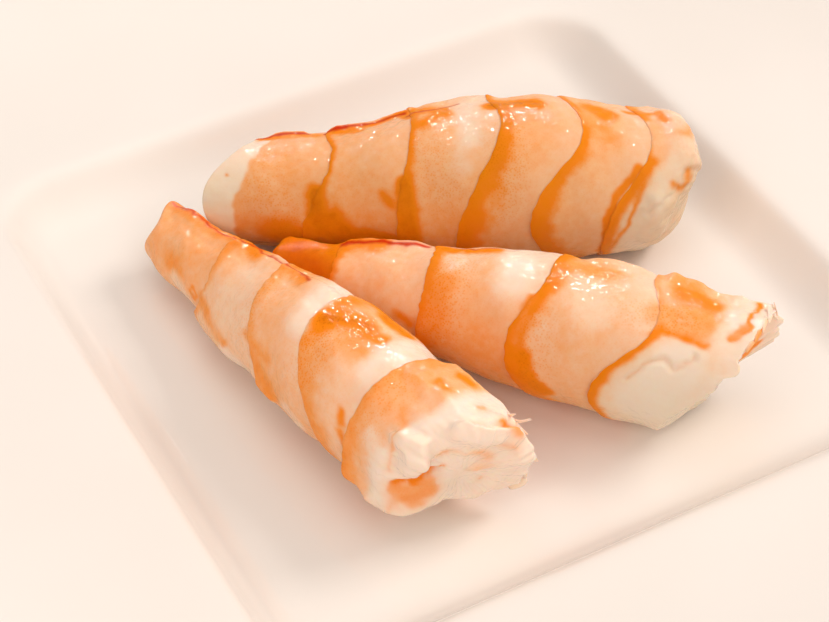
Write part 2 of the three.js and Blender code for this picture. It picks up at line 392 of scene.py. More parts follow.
def segment_relief(tail, grid):
    """The relief of the segments in mm: the standing lip at each rear edge, which is thickest at
    the flanks' lower edges, the tuck under the next one's, and those edges hanging lower in the
    middle of a segment. The torn skin stands up a little at the cut."""
    t, angle, index = grid["t"], grid["angle"], grid["segment"]
    flap = np.array([row[4] for row in tail["seams"]])[index]
    sides = hump(angle, hem_angle, hem_width) + hump(angle, 360 - hem_angle, hem_width)
    standing = lip * (1 - smooth(t / lip_share)) * (1 + 1.6 * sides)
    tucked = tuck * smooth((t - lip_share) / (1 - lip_share))
    hang = flap * sides * np.sin(math.pi * np.minimum(1, 0.25 + 0.75 * t))
    rounding = 0.1 * np.exp(-(np.maximum(grid["behind"], 0) / 0.2) ** 2)
    relief = standing - tucked + hang - rounding
    is_tail, is_head = index == 0, index == index.max()
    relief = np.where(is_tail, relief * smooth(t / 0.4), relief)
    relief = np.where(is_head, relief * (1 - 0.9 * smooth(t)), relief)
    flare = np.where(is_head, tail["flare"] * np.exp(-(np.maximum(grid["ahead"], 0) / 0.9) ** 2), 0)
    return np.where(grid["turn"] > 0, 0, relief + flare)


def body_relief(tail, grid, u):
    """The relief of the whole body in mm: the keel of the back, the fold of the belly and two
    slow waves of unevenness."""
    s, angle = grid["s"], grid["angle"]
    a = np.radians(angle)
    ridge = keel * hump(angle, 0, 15) * (1 - 0.7 * smooth(u / 0.8))
    fold = -groove * hump(angle, 180, 15) - 0.1 * hump(angle, 180, 42)
    wave = np.sin(0.33 * s + 2 * a + tail["phase"]) + 0.6 * np.sin(0.71 * s - 3 * a + 2 * tail["phase"])
    return ridge + fold + tail["uneven"] * wave * 0.5


def skin_points(tail, grid, relief, length):
    """Points of the skin in the tail's own frame: an ellipse about the bowed axis, shrunk over the
    ends, pushed out by the relief and rolled onto its side. The relief pushes outward on the
    flanks and turns to push along the axis over the ends."""
    s, a, turn = grid["s"], np.radians(grid["angle"]), grid["turn"]
    u = s / length
    roll = math.radians(tail["roll"])
    high = body_radius(tail, u)
    wide = 0.94 * high
    lowest = np.hypot(high * math.cos(roll), wide * math.sin(roll))
    shrink = np.cos(turn) ** np.where(turn > 0, 0.7, 1)
    out = body_relief(tail, grid, u) * shrink + relief * np.cos(turn)
    up = (high * shrink + out) * np.cos(a)
    over = (wide * shrink + out) * np.sin(a)
    x = s + relief * np.sin(turn) * np.where(grid["segment"] == 0, -1, 1)
    y = 4 * tail["bow"] * u * (1 - u) + up * math.sin(roll) - over * math.cos(roll)
    z = lowest + tail["lift"] * (1 - np.clip(u, 0, 1)) ** 2 + up * math.cos(roll) + over * math.sin(roll)
    return np.stack([x, y, z], -1)


def flesh_relief(tail, points, grid):
    """The fine relief of cooked flesh in mm: soft dimples, the fine crinkles of the skin, which
    are deepest on the back, and the coarser grain of torn muscle over the cut."""
    dimple = 0.09 * lattice_noise(points, 3.4, 3) + 0.05 * lattice_noise(points, 1.5, 4)
    crinkle = lattice_noise(points * [0.7, 1, 1], 0.75, 5)
    torn = tail["torn"] * (lattice_noise(points, 1.4, 6) + 0.4 * lattice_noise(points, 0.55, 7))
    cut = smooth(grid["turn"] / 0.25) * (grid["segment"] > 0)
    return dimple + crinkle * (0.015 + 0.035 * hump(grid["angle"], 15, 45)) + torn * cut


def brush(x, y, places, width, soft):
    """The mask of a brush line through places, from 0 to 1: full within half its width of the
    line, fading over soft mm. x, y and the places are distances over the skin in mm."""
    nearest = np.full(x.shape, 1e9)
    pairs = list(zip(places[:-1], places[1:])) or [(places[0], places[0])]
    for (x0, y0), (x1, y1) in pairs:
        run = (x1 - x0) ** 2 + (y1 - y0) ** 2 + 1e-9
        share = np.clip(((x - x0) * (x1 - x0) + (y - y0) * (y1 - y0)) / run, 0, 1)
        nearest = np.minimum(nearest, np.hypot(x - x0 - share * (x1 - x0), y - y0 - share * (y1 - y0)))
    return 1 - smooth((nearest - width / 2) / soft + 0.5)


def brush_marks(tail, grid, length, waver):
    """Every listed mark of a tail as (name, level, mask). A skin mark goes through (mm from
    the tail end, degrees round from the back) and is on both flanks alike, save the crest. A
    face mark goes through (mm towards the left flank, mm towards the back) over the cut, and
    laps 1.2 mm over its edge. The waver makes their edges uneven."""
    angle, s = grid["angle"], grid["s"]
    radius = body_radius(tail, s / length)
    reach = body_radius(tail, 1) * np.cos(grid["turn"])
    left, upper = reach * np.sin(np.radians(angle)), reach * np.cos(np.radians(angle))
    is_head = grid["segment"] == grid["segment"].max()
    lap = np.where(is_head, np.exp(-(np.maximum(grid["ahead"], 0) / 1.2) ** 2), 0)
    for name, level, width, soft, places in tail["face"]:
        mask = brush(left + 0.6 * waver[0], upper + 0.6 * waver[1], places, width, soft)
        yield name, level, mask * lap
    for name, level, width, soft, places in tail["marks"]:
        turned = np.radians(angle if name == "crest" else np.abs(angle))
        arcs = [(place, math.radians(a) * radius) for place, a in places]
        yield name, level, brush(s + 0.7 * waver[0], turned * radius + 0.7 * waver[1], arcs, width, soft)


def wavers(points):
    """Two fields of lattice noise, 2.3 and 0.8 mm to a wave, that make paint edges uneven."""
    return [
        0.55 * lattice_noise(points, 2.3, seed) + 0.3 * lattice_noise(points, 0.8, seed + 1)
        for seed in (21, 31)
    ]


def paint(tail, grid, points, length):
    """The masks that colour the skin, by name. Pigment stands just ahead of each seam and fades
    forward to the segment's own level, milky flesh shows just behind the next seam, and the
    brush marks then draw a mask towards a level of their own."""
    index, angle = grid["segment"], grid["angle"]
    waver = wavers(points)
    masks = {name: np.zeros(index.shape) for name in mask_names}
    for k, (width, tone, level, milk) in enumerate(tail["bands"]):
        here = index == k
        reach = np.maximum(through(width, angle) * (1 + 0.45 * waver[0]), 0.2)
        fade = np.exp(-(np.maximum(grid["behind"], 0) / reach) ** 3)
        own = through(level, angle) + 0.07 * waver[1]
        masks["pigment"] = np.where(here, own + (through(tone, angle) - own) * fade, masks["pigment"])
        near_seam = np.exp(-(np.maximum(grid["ahead"], 0) / 4) ** 2) * (1 + 0.5 * waver[1])
        masks["milk"] = np.where(here, through(milk, angle) * near_seam, masks["milk"])
    for name, level, mask in brush_marks(tail, grid, length, waver):
        if name != "push":
            masks[name] = masks[name] + (level - masks[name]) * mask
    masks["milk"] *= 1 - smooth((masks["pigment"] - 0.35) / 0.4)
    # Painted shade: the flesh is darkened by its angle round the body, where less light reaches the flanks
    # and belly.
    masks["painted_shade"] = through(tail["painted_shade"], angle)
    return masks


def cooked_flesh():
    """Cooked prawn flesh, peeled and moist: milky muscle that light soaks into, orange pigment in
    a thin skin with freckles 0.34 mm apart, red along the crest, and a wet film whose crinkles,
    1 mm apart, break the light into small sharp glints."""
    material, tree = new_material("cooked_flesh")
    place = add(tree, "TexCoord").outputs["Object"]
    pigment, milk, crest, freckle, painted_shade = (
        add(tree, "Attribute", attribute_name=name).outputs["Fac"] for name in mask_names
    )
    grain = add(tree, "TexNoise", {"Vector": place, "Scale": 1 / (1.3 * MM), "Detail": 4.0})
    shift = add(tree, "MapRange", {"Value": grain.outputs["Fac"], "To Min": -0.14, "To Max": 0.14})
    cells = add(tree, "TexVoronoi", {"Vector": place, "Scale": 1 / (0.34 * MM)})
    dots = add(tree, "MapRange", {
        "Value": cells.outputs["Distance"],
        "From Min": 0.1,
        "From Max": 0.5,
        "To Min": 0.8,
        "To Max": -0.25,
    })
    strength = add(tree, "MapRange", {"Value": freckle, "To Min": 0.05, "To Max": 0.2})
    stipple = add(tree, "Math", {0: dots.outputs[0], 1: strength.outputs[0]}, operation="MULTIPLY")
    mottled = add(tree, "Math", {0: shift.outputs[0], 1: stipple.outputs[0]}, operation="ADD")
    level = add(tree, "Math", {0: pigment, 1: mottled.outputs[0]}, operation="ADD")
    share = add(tree, "Math", {0: level.outputs[0], 1: 1.3}, operation="DIVIDE")
    tone = add(tree, "ValToRGB", {0: share.outputs[0]}, [
        (0.0, "#FEDFC8"),
        (1.0, "#DC7000"),
        (0.154, "#FED2B0"),
        (0.32, "#FEBA88"),
        (0.46, "#FEA45C"),
        (0.615, "#FD8C24"),
        (0.77, "#F88A10"),
    ])
    milky = add(tree, "Mix", {0: milk, 6: tone.outputs["Color"], 7: linear("#FEEADA")}, data_type="RGBA")
    red = add(tree, "Mix", {0: crest, 6: milky.outputs[2], 7: linear("#CC2C00")}, data_type="RGBA")
    # Painted shade: the painted_shade mask multiplies the colour towards a dull grey-green, which darkens
    # and yellows the flanks and belly where less light reaches them.
    shade = {0: painted_shade, 6: red.outputs[2], 7: linear("#C6DAD0")}
    deep = add(tree, "Mix", shade, data_type="RGBA", blend_type="MULTIPLY")
    crinkle = {"Vector": place, "Scale": 1 / (1.0 * MM), "Detail": 0.6, "Distortion": 1.0}
    fine = add(tree, "TexNoise", crinkle)
    film = add(tree, "Bump", {"Height": fine.outputs["Fac"], "Distance": 0.32 * MM, "Strength": 1.0})
    skin = add(tree, "Bump", {"Height": grain.outputs["Fac"], "Distance": 0.05 * MM, "Strength": 0.5})
    shader = add(tree, "BsdfPrincipled", {
        "Base Color": deep.outputs[2],
        "Roughness": 0.5,
        "IOR": 1.4,
        "Specular IOR Level": 0.0,
        "Subsurface Weight": 0.35,
        "Subsurface Radius": (1.0, 0.4, 0.2),
        "Subsurface Scale": 0.9 * MM,
        "Coat Weight": 0.5,
        "Coat Roughness": 0.03,
        "Coat IOR": 1.25,
        "Normal": skin.outputs["Normal"],
        "Coat Normal": film.outputs["Normal"],
    })
    add(tree, "OutputMaterial", {"Surface": shader.outputs["BSDF"]})
    return material


def prawn(name, node, tail, material):
    """One peeled tail: its skin with fine relief, pressed flat where it rests, turned and set down
    on the place that the frame gives, and its paint as point attributes. It returns the points
    over the cut, from the rim inwards."""
    tail_end, head_end = Vector(tail["tail"]), Vector(tail["head"])
    length = (head_end - tail_end).length
    grid = tail_grid(tail)
    relief = segment_relief(tail, grid)
    waver = wavers(skin_points(tail, grid, relief, length))
    strokes = brush_marks(tail, grid, length, waver)
    relief = relief + sum(level * mask for kind, level, mask in strokes if kind == "push")
    smooth_points = skin_points(tail, grid, relief, length)
    points = skin_points(tail, grid, relief + flesh_relief(tail, smooth_points, grid), length)
    points[..., 2] = np.maximum(points[..., 2] - smooth_points[..., 2].min() - tail["settle"], 0)
    masks = paint(tail, grid, smooth_points, length)
    turn = math.atan2(head_end.y - tail_end.y, head_end.x - tail_end.x)
    x = tail_end.x + points[..., 0] * math.cos(turn) - points[..., 1] * math.sin(turn)
    y = tail_end.y + points[..., 0] * math.sin(turn) + points[..., 1] * math.cos(turn)
    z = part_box(node)[0].z / MM + points[..., 2]
    piece = closed_mesh(name, np.stack([x, y, z], -1))
    for mask_name, mask in masks.items():
        values = np.concatenate([[mask[0].mean()], mask.ravel(), [mask[-1].mean()]])
        layer = piece.data.attributes.new(mask_name, "FLOAT", "POINT")
        layer.data.foreach_set("value", values.astype(np.float32))
    piece.data.materials.append(material)
    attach(piece, "root")
    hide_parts(node)
    cut_rows = (grid["segment"][:, 0] == len(tail["bands"]) - 1) & (grid["turn"][:, 0] == 0)
    rim = np.where(cut_rows)[0][-1]
    return np.stack([x, y, z], -1)[rim:]


shred_root = 0.8
shred_thickness = 0.28
shred_rows = 9
shred_sides = 10


def shreds(name, face, tongues, material):
    """Torn shreds of muscle at a cut: flat tapering tongues with an elliptical section, rooted in
    the flesh. Each is (degrees round from the back, degrees in over the face, length, width, how
    far its tip droops and spreads, its pigment at the root)."""
    ahead = (face[-1].mean(0) - face[0].mean(0)) * [1, 1, 0]
    ahead /= np.linalg.norm(ahead)
    t = np.linspace(0, 1, shred_rows)[:, None, None]
    a = np.linspace(0, 2 * math.pi, shred_sides, endpoint=False)[None, :, None]
    stacks, tones = [], []
    for angle, turn, long, wide, droop, spread, tone in tongues:
        row = int(turn * cut_steps / end_turn)
        column = int((angle % 360 + 180) % 360 / 360 * around)
        root = face[row, column]
        across = face[row, (column + 3) % around] - face[row, column - 3]
        across /= np.linalg.norm(across)
        out = np.cross(across, ahead)
        out *= np.sign(out @ (root - face[0].mean(0)))
        bend = out * spread - np.array([0, 0, droop])
        flow = ahead * (long * t - shred_root * (1 - t)) + bend * t * t
        taper = np.sqrt(1 - 0.96 * t ** 1.6)
        curl = 0.25 * np.sin(5 * t + angle) * wide * across
        thick = np.cross(ahead, across) * shred_thickness / 2
        section = across * wide / 2 * np.cos(a) + thick * np.sin(a)
        stacks.append(root - 0.15 * out + flow + curl * t + section * taper)
        fading = np.repeat(tone * (1 - t[:, 0, 0]) ** 1.5, shred_sides)
        tones.append(np.concatenate([[tone], fading, [0]]))
    piece = closed_mesh(name, *stacks)
    layer = piece.data.attributes.new("pigment", "FLOAT", "POINT")
    layer.data.foreach_set("value", np.concatenate(tones).astype(np.float32))
    piece.data.materials.append(material)
    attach(piece, "root")


flesh = cooked_flesh()


# The front tail
# The slimmest of the three, salmon coloured and only lightly banded. It lies almost straight
# with its cut end to the front, where the muscle shows.

# A tail's values, in mm and degrees. Its axis runs from tail to head, bent aside by bow and
# raised at the tail by lift. The body is rolled onto its side by roll and pressed flat below by
# settle. Its radius is full at thick_at of the length, tail_ratio of that at the tail with the
# power swell between them, and less by the share head_drop at the cut. tail_cap and head_cap
# are how far the ends bulge. slant, tear and flare shape the cut's edge, torn is the grain of
# its face, uneven and phase are slow waves in the whole body, and painted_shade is painted
# shade: how far the flesh is darkened at the back, flanks and belly, none at the back and most
# on the flanks and belly, where less light reaches them. A seam is its distance along the axis
# at the back, flanks and belly, a sway, and how far its hem hangs. A band is the width and the
# strength of the pigment at its seam, the level that it fades to and the milky share at the next
# seam, each at the back, flanks and belly. A mark is its mask, its level, its width, its soft
# edge and its places, and a push is a lump or a dent as high in mm as its level.

front = {
    "tail": (-30.1, 34.6), "head": (-17.3, -33.3), "bow": -0.3, "roll": 24, "radius": 9.3,
    "tail_ratio": 0.46, "thick_at": 0.76, "swell": 2.1, "head_drop": 0, "lift": 0.7,
    "seams": [
        (4.6, 6.2, 7.6, 3.5, 0.3),
        (19.0, 21.0, 21.5, 1.5, 1.1),
        (29.5, 34.5, 41.0, 0, 0.3),
        (41.5, 46.5, 54.0, -2, 0.2),
        (57.5, 56.5, 58.0, 0, 0.7),
        (69.5, 67.0, 64.5, 0, 0),
    ],
    "slant": -3.6, "settle": 0.4, "tail_cap": 1.6, "head_cap": 2.6, "uneven": 0.35, "phase": 0.4,
    "tear": 0.4, "flare": 0.03, "torn": 0.03,
    "painted_shade": (0, 0.1, 0.25),
    "bands": [
        ((3, 3, 3), (0.5, 0.5, 0.45), (0.5, 0.48, 0.42), (0.1, 0.05, 0.2)),
        ((2.0, 0.7, 2.0), (0.75, 0.6, 0.7), (0.46, 0.33, 0.4), (0.15, 0.15, 0.3)),
        ((2.0, 1.6, 3.0), (0.65, 0.6, 0.72), (0.44, 0.44, 0.48), (0.6, 0.2, 0.2)),
        ((3.5, 3.4, 3.0), (0.8, 0.7, 0.75), (0.38, 0.38, 0.42), (0.6, 0.2, 0.3)),
        ((3, 2.4, 2.5), (0.66, 0.66, 0.75), (0.48, 0.42, 0.45), (0.4, 0.1, 0.2)),
    ],
    "marks": [
        ("crest", 0.9, 0.5, 0.7, [(5, 2), (12, 3), (18, 2), (26, -1)]),
        ("crest", 0.9, 0.5, 0.6, [(26, -1), (31, 2), (33.5, 6), (36, 10)]),
        ("pigment", 0.8, 1.4, 2.0, [(2, 4), (12, 3), (19, 4)]),
        ("pigment", 0.85, 2.2, 2.5, [(21.5, 2), (24.5, 8)]),
        ("pigment", 0.8, 1.6, 2.2, [(31, 4), (35, 12)]),
        ("pigment", 0.7, 2.2, 2.5, [(12, 86), (15, 94)]),
        ("pigment", 0.24, 3, 2, [(14.5, 115), (17, 130)]),
        ("pigment", 0.75, 0.5, 0.5, [(18.6, 97), (19.9, 104), (19.5, 113), (18.2, 106), (18.6, 97)]),
        ("pigment", 0.68, 1.4, 1.2, [(20.8, 98), (25, 106), (29.5, 116)]),
        ("pigment", 0.26, 5, 4, [(27, 40), (28, 90)]),
        ("freckle", 0.7, 4, 4, [(32, 40), (33, 95)]),
        ("milk", 0.5, 2.5, 2.5, [(39.5, 0), (40.5, 25)]),
        ("pigment", 0.14, 3, 3, [(39.5, 0), (41, 50)]),
        ("pigment", 0.62, 2, 2, [(34, 88), (39, 96)]),
        ("pigment", 0.7, 1.6, 1.4, [(36, 104), (40, 118), (42, 125)]),
        ("pigment", 1.2, 3.8, 2.6, [(44.0, 34), (46.6, 26), (48.4, 16)]),
        ("pigment", 1.1, 2.4, 2.8, [(48, 24), (52.0, 16)]),
        ("pigment", 0.62, 3.0, 3.0, [(48, 34), (52, 36)]),
        ("freckle", 1.0, 6, 4, [(45, 35), (46, 75)]),
        ("pigment", 0.56, 3, 3, [(47, 40), (48, 60)]),
        ("pigment", 0.62, 2, 2, [(45.5, 66), (48.5, 84)]),
        ("milk", 0.5, 3, 3, [(54.5, 0), (54.5, 40)]),
        ("pigment", 0.15, 3.0, 3, [(54.5, 0), (54.3, 45)]),
        ("pigment", 0.8, 1.2, 1.2, [(54.8, 83), (55.3, 92)]),
        ("pigment", 0.75, 1.0, 1.0, [(55.5, 100), (57.5, 124)]),
        ("pigment", 1.0, 1.2, 2.0, [(62.4, 12), (63.6, 14)]),
        ("pigment", 0.55, 3, 2.5, [(60, 20), (60, 55)]),
        ("freckle", 0.6, 4, 4, [(59, 40), (59, 80)]),
        ("pigment", 0.64, 1.2, 2.4, [(62.4, 52), (63.6, 64), (64.0, 76)]),
        ("pigment", 0.22, 2.5, 1.5, [(60.5, 84), (62.5, 94)]),
        ("pigment", 0.62, 0.8, 1.8, [(64.2, 78), (64.2, 100)]),
        ("milk", 0.7, 3, 2.5, [(67, 0), (67.5, 30)]),
        ("pigment", 0.12, 4, 2.5, [(67.5, 0), (68, 30)]),
        ("pigment", 0.6, 1.8, 1.8, [(68.2, 2), (70, -14)]),
        ("milk", 0.5, 2.5, 1.2, [(30, 128), (34, 134)]),
        ("milk", 0.5, 2.5, 1.2, [(45, 126), (47, 134)]),
        ("push", 0.7, 2.2, 3.0, [(8, 5), (30, 5), (40, 8)]),
        ("push", 0.7, 2.0, 3.0, [(60, 20), (68, 24)]),
        ("push", 0.7, 1.6, 2.2, [(37, 124), (41, 128)]),
        ("push", 0.9, 2.0, 2.6, [(58, 130), (62, 134)]),
        ("push", 0.9, 2.0, 3.0, [(62, 138), (66, 143)]),
    ],
    "face": [
        ("pigment", 0.1, 20, 1, [(0, 0)]),
        ("milk", 0.6, 20, 1, [(0, 0)]),
        ("push", -2.0, 4.5, 3.5, [(-1.5, -8.5), (-6.0, -6.5)]),
        ("push", 1.5, 3.4, 1.2, [(3.2, 6.2), (-2.4, 5.4), (-5.0, 3.4)]),
        ("push", 1.0, 2.4, 2.4, [(-8.8, 2.0), (-8.4, -1.6)]),
        ("push", 1.5, 3.4, 1.6, [(7.4, 3.0), (6.2, 0.8)]),
        ("push", -0.9, 3.4, 1.8, [(2.6, 1.0), (-2.4, -0.8)]),
        ("push", -0.7, 0.5, 1.2, [(6.8, -3.0), (5.4, -1.8), (3.8, -0.4), (2.4, 0.4)]),
        ("push", 0.7, 2.6, 2.4, [(5.4, -5.6), (2.4, -4.0)]),
        # Painted shade: an ochre line with no milk along the crease under the jutting top of the cut.
        ("pigment", 0.52, 0.9, 1.8, [(3.6, 2.2), (2.6, 3.0), (0.6, 2.8), (-1.6, 1.8)]),
        ("milk", 0.0, 0.9, 1.8, [(3.6, 2.2), (2.6, 3.0), (0.6, 2.8), (-1.6, 1.8)]),
        ("pigment", 0.66, 3.2, 2.0, [(6.0, -3.8), (4.6, -3.2), (3.2, -1.8)]),
        ("pigment", 1.0, 0.3, 0.9, [(6.8, -3.0), (5.6, -1.8), (4.8, -1.9), (4.0, -0.5), (2.0, 0.5)]),
        ("pigment", 0.55, 1.2, 2.0, [(6.2, -5.0), (5.4, -7.0)]),
        ("pigment", 0.66, 2.4, 2.8, [(-1.4, 8.2), (-3.0, 6.0)]),
        ("pigment", 0.82, 0.6, 1.4, [(-0.9, 9.0), (-2.8, 7.4), (-4.8, 5.8)]),
        ("pigment", 0.62, 1.0, 1.8, [(-1.6, 4.2), (-3.6, 3.6)]),
        ("pigment", 0.6, 0.9, 1.6, [(-2.7, -1.1)]),
        ("milk", 0.9, 2.0, 2.5, [(-7.6, 4.0), (-8.6, 0.5)]),
    ],
}
front_face = prawn("front_prawn", "prawn_front", front, flesh)
shreds("front_shreds", front_face, [
    (-22, 0, 1.0, 1.0, -0.2, 0.7, 0.1),
    (-29, 0, 1.9, 0.5, -0.6, 1.2, 0),
    (-33, 0, 1.3, 0.6, -0.2, 1.4, 0),
    (-44, 0, 0.7, 1.6, 0.2, 0.3, 0.2),
    (-58, 0, 0.8, 1.8, 0.3, 0.2, 0),
    (-74, 0, 0.9, 2.2, 0.6, 0.1, 0),
    (-88, 0, 0.9, 2.6, 0.8, 0.0, 0),
    (-98, 4, 1.3, 3.6, 1.3, 0.0, 0),
], flesh)


# The middle tail
# It lies between the other two with its thin end under the back one's flank. Its dorsal
# pigment is bright orange and the bands on its flank are ochre.

middle = {
    "tail": (-18.7, 17.7), "head": (22.6, -35.2), "bow": -1.55, "roll": 36, "radius": 9.8,
    "tail_ratio": 0.3, "thick_at": 0.75, "swell": 1.35, "head_drop": 0.04, "lift": 3.3,
    "seams": [
        (2.4, 2.0, 3.4, 0, 0),
        (10.6, 10.8, 11.0, 0, 0.2),
        (23.8, 25.5, 25.0, 0, 0.3),
        (41.0, 38.8, 44.0, 4, 0.4),
        (54.0, 54.0, 53.0, 7.5, 0.4),
        (69.3, 66.5, 59.5, 3, 0),
    ],
    "slant": 0, "settle": 0.4, "tail_cap": 1.8, "head_cap": 0.4, "uneven": 0.3, "phase": 2.1,
    "tear": 0.5, "flare": 0.1, "torn": 0.04,
    "painted_shade": (0, 0.4, 0.5),
    "bands": [
        # The thin end is deep orange all round: partly its own pigment and partly painted shade, where it
        # lies tucked between the other two tails.
        ((4, 4, 4), (1.15, 1.15, 1.15), (1.15, 1.15, 1.15), (0, 0, 0)),
        ((1.6, 1.0, 2), (0.95, 0.8, 0.9), (0.4, 0.42, 0.6), (0.2, 0.1, 0.1)),
        ((1.4, 2.6, 3), (0.95, 0.85, 0.95), (0.3, 0.52, 0.58), (0.5, 0.2, 0.1)),
        ((2.0, 2.6, 3.4), (1.02, 1.0, 1.0), (0.36, 0.38, 0.45), (0.4, 0.15, 0.1)),
        ((1.2, 1.3, 1.6), (0.55, 0.95, 0.95), (0.3, 0.2, 0.15), (0.5, 0.5, 0.5)),
    ],
    "marks": [
        ("crest", 1.0, 0.6, 0.6, [(10.5, 12), (17, 9), (23, 6)]),
        ("crest", 0.8, 0.3, 0.5, [(26.5, 5), (29.5, 8), (33, 6)]),
        # Painted shade: a wash of crest red darkens the thin end where it lies between the other two tails.
        ("crest", 0.35, 4, 4, [(4, 60), (8, 75)]),
        ("pigment", 0.95, 2.2, 3.0, [(12, 14), (16, 12)]),
        ("pigment", 0.9, 1.2, 1.6, [(22.5, 108), (24.5, 114)]),
        ("pigment", 1.0, 1.6, 1.6, [(25.2, 8), (26.5, 14)]),
        ("pigment", 0.95, 1.4, 2.0, [(27, 12), (33, 12)]),
        ("pigment", 0.72, 3.0, 2.5, [(28, 64), (28.5, 95), (27.5, 112)]),
        ("freckle", 1.0, 6, 4, [(28.5, 50), (28.5, 100)]),
        ("pigment", 0.14, 5, 3, [(36, 5), (37, 50)]),
        ("milk", 0.45, 3.5, 3, [(36, 5), (37, 50)]),
        ("pigment", 0.78, 1.4, 1.0, [(40.4, 62), (39.9, 80), (40.0, 98)]),
        ("pigment", 1.0, 1.1, 2.6, [(42, 20), (49, 18)]),
        ("pigment", 0.62, 3.6, 3.5, [(44, 16), (49, 20)]),
        ("pigment", 1.05, 2.2, 1.2, [(41.6, 110), (42, 122), (44.5, 138)]),
        ("pigment", 0.4, 1.6, 1.4, [(42.2, 94), (43.4, 108)]),
        ("freckle", 1.0, 4, 3, [(42.5, 80), (43.5, 118)]),
        ("pigment", 0.2, 5, 3, [(47, 50), (49, 60)]),
        ("freckle", 0.8, 4, 3, [(54, 55), (60, 45)]),
        ("pigment", 0.62, 6, 4, [(58.5, 12), (62, 38)]),
        ("pigment", 1.02, 2.0, 2.8, [(58.5, 17), (63, 21)]),
        ("pigment", 0.6, 4, 3, [(57, 45), (62, 52)]),
        ("pigment", 0.1, 7, 2, [(61, 87), (57.5, 125)]),
        ("milk", 0.6, 7, 3, [(61, 87), (57.5, 125)]),
        ("pigment", 0.5, 0.4, 0.8, [(55.5, 104), (57.5, 87), (59.3, 82), (60.6, 90), (62.6, 76)]),
        ("pigment", 0.85, 0.8, 1.3, [(56.8, 66), (58, 59), (60, 61), (63.5, 66)]),
        ("pigment", 0.14, 3, 3, [(67, 0), (66.5, 60)]),
        ("milk", 0.4, 3, 3, [(66.5, 0), (66, 60)]),
        ("pigment", 0.95, 0.7, 0.9, [(67.6, 4), (68.2, 20), (67.6, 34), (68.2, 44), (66.6, 54)]),
        ("pigment", 0.7, 1.6, 1.2, [(67.4, 44), (66.8, 52)]),
        ("push", 0.7, 1.8, 3.0, [(11, 2), (21, 2)]),
        ("push", 1.0, 2.4, 3.0, [(46, -4), (52.5, -4)]),
        ("push", 1.5, 2.4, 3.0, [(56.5, -5), (64.5, -8)]),
        ("push", 0.6, 1.6, 2.4, [(66, 0), (69, 0)]),
        ("push", -0.5, 0.4, 1.4, [(55.5, 104), (57.5, 87), (59.3, 82), (60.6, 90), (62.6, 76)]),
    ],
    "face": [
        ("pigment", 0.12, 20, 1, [(0, 0)]),
        ("milk", 0.5, 20, 1, [(0, 0)]),
        ("push", -0.9, 7, 6, [(0, 0)]),
    ],
}
middle_face = prawn("middle_prawn", "prawn_middle", middle, flesh)
shreds("middle_shreds", middle_face, [
    (-20, 0, 1.0, 2.4, -0.1, 0.1, 0),
    (-8, 0, 1.4, 2.6, 0.0, 0.1, 0.1),
    (6, 0, 1.2, 2.6, 0.0, 0.1, 0.2),
    (20, 0, 1.5, 2.4, 0.1, 0.1, 0.1),
    (33, 0, 0.9, 2.6, 0.2, 0.1, 0.3),
    (46, 0, 1.4, 2.0, 0.3, 0.2, 0.7),
    (56, 0, 0.8, 1.8, 0.3, 0.1, 0.5),
], flesh)


# The back tail
# The thickest one. Its bands are deep orange and widen down the flank, and white muscle
# bulges out at its cut end.

